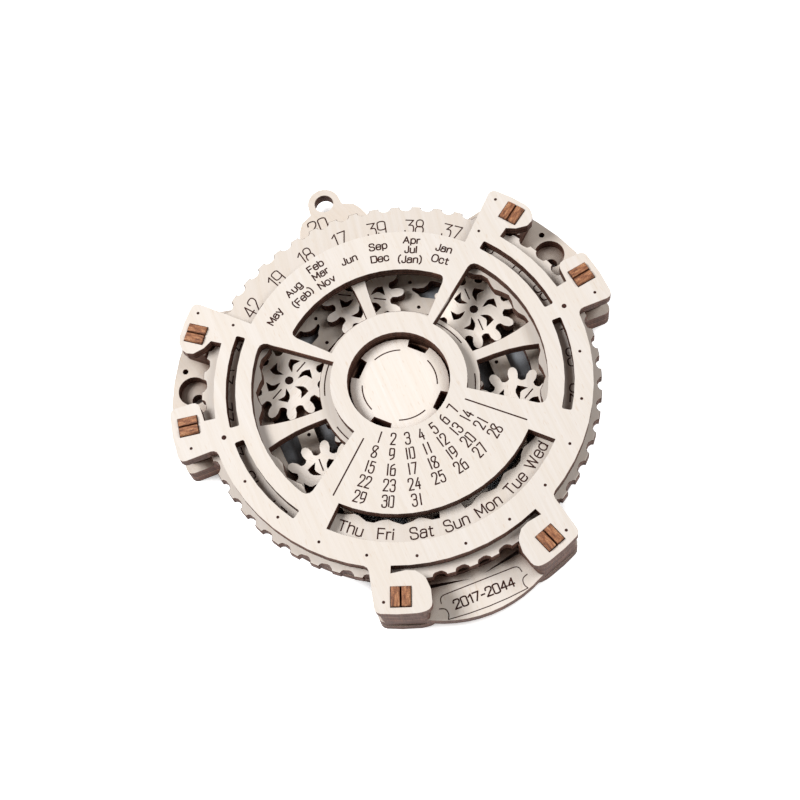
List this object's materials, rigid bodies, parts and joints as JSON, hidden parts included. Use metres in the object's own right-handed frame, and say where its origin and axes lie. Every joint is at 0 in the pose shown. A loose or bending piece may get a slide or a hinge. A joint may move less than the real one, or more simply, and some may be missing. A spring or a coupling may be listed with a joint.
{
  "type": "perpetual desk calendar",
  "caption": "Round plywood desk calendar with a turning year wheel that drives a planetary gear train behind a plate of months and dates.",
  "frame": {"origin": "centre of the back plate's rear face, on the year wheel's axis", "axes": "+Z out of the front face along the wheel's axis, +Y up to the hanging loop, +X to the right of someone who looks at the front"},
  "size_m": [0.1272, 0.1372, 0.0183],
  "materials": {
    "birch": "sanded",
    "shaded_birch": "sanded",
    "peg_wood": "sanded"
  },
  "bodies": {
    "frame": {"back_plate": "shaded_birch", "hanger_plate": "birch", "name_plate": "birch", "front_plate": "birch", "centre_disc": "birch", "upper_hub_disc": "shaded_birch", "lower_hub_disc": "shaded_birch", "planet_axle_1": "peg_wood", "planet_axle_2": "peg_wood", "planet_axle_3": "peg_wood", "planet_axle_4": "peg_wood", "planet_axle_5": "peg_wood", "planet_axle_6": "peg_wood", "spacer_rear_left_upper": "shaded_birch", "spacer_front_left_upper": "shaded_birch", "spacer_rear_left_lower": "shaded_birch", "spacer_front_left_lower": "shaded_birch", "spacer_rear_left_bottom": "shaded_birch", "spacer_front_left_bottom": "shaded_birch", "spacer_rear_right_upper": "shaded_birch", "spacer_front_right_upper": "shaded_birch", "spacer_rear_right_lower": "shaded_birch", "spacer_front_right_lower": "shaded_birch", "spacer_rear_right_bottom": "shaded_birch", "spacer_front_right_bottom": "shaded_birch", "peg_left_upper": "peg_wood", "peg_left_lower": "peg_wood", "peg_left_bottom": "peg_wood", "peg_right_upper": "peg_wood", "peg_right_lower": "peg_wood", "peg_right_bottom": "peg_wood"},
    "wheel": {"year_wheel": "birch", "carrier_ring": "shaded_birch", "ring_gear": "shaded_birch"},
    "sun": {"sun_gear": "birch"},
    "planet_1": {"planet_gear_1": "birch"},
    "planet_2": {"planet_gear_2": "birch"},
    "planet_3": {"planet_gear_3": "birch"},
    "planet_4": {"planet_gear_4": "birch"},
    "planet_5": {"planet_gear_5": "birch"},
    "planet_6": {"planet_gear_6": "birch"}
  },
  "joints": [
    {"name": "year_wheel_turn", "type": "hinge", "parent": "frame", "child": "wheel", "pos_m": [0, 0, 0.0105], "axis": [0, 0, 1], "continuous": true},
    {"name": "sun_gear_turn", "type": "hinge", "parent": "frame", "child": "sun", "pos_m": [0, 0, 0.005], "axis": [0, 0, 1], "continuous": true},
    {"name": "planet_gear_1_turn", "type": "hinge", "parent": "frame", "child": "planet_1", "pos_m": [0, 0.0325, 0.005], "axis": [0, 0, 1], "continuous": true},
    {"name": "planet_gear_2_turn", "type": "hinge", "parent": "frame", "child": "planet_2", "pos_m": [-0.02815, 0.01625, 0.005], "axis": [0, 0, 1], "continuous": true},
    {"name": "planet_gear_3_turn", "type": "hinge", "parent": "frame", "child": "planet_3", "pos_m": [-0.02815, -0.01625, 0.005], "axis": [0, 0, 1], "continuous": true},
    {"name": "planet_gear_4_turn", "type": "hinge", "parent": "frame", "child": "planet_4", "pos_m": [0, -0.0325, 0.005], "axis": [0, 0, 1], "continuous": true},
    {"name": "planet_gear_5_turn", "type": "hinge", "parent": "frame", "child": "planet_5", "pos_m": [0.02815, -0.01625, 0.005], "axis": [0, 0, 1], "continuous": true},
    {"name": "planet_gear_6_turn", "type": "hinge", "parent": "frame", "child": "planet_6", "pos_m": [0.02815, 0.01625, 0.005], "axis": [0, 0, 1], "continuous": true}
  ],
  "couplings": [
    {"joint": "sun_gear_turn", "follows": "year_wheel_turn", "ratio": -2},
    {"joint": "planet_gear_1_turn", "follows": "year_wheel_turn", "ratio": 4},
    {"joint": "planet_gear_2_turn", "follows": "year_wheel_turn", "ratio": 4},
    {"joint": "planet_gear_3_turn", "follows": "year_wheel_turn", "ratio": 4},
    {"joint": "planet_gear_4_turn", "follows": "year_wheel_turn", "ratio": 4},
    {"joint": "planet_gear_5_turn", "follows": "year_wheel_turn", "ratio": 4},
    {"joint": "planet_gear_6_turn", "follows": "year_wheel_turn", "ratio": 4}
  ]
}
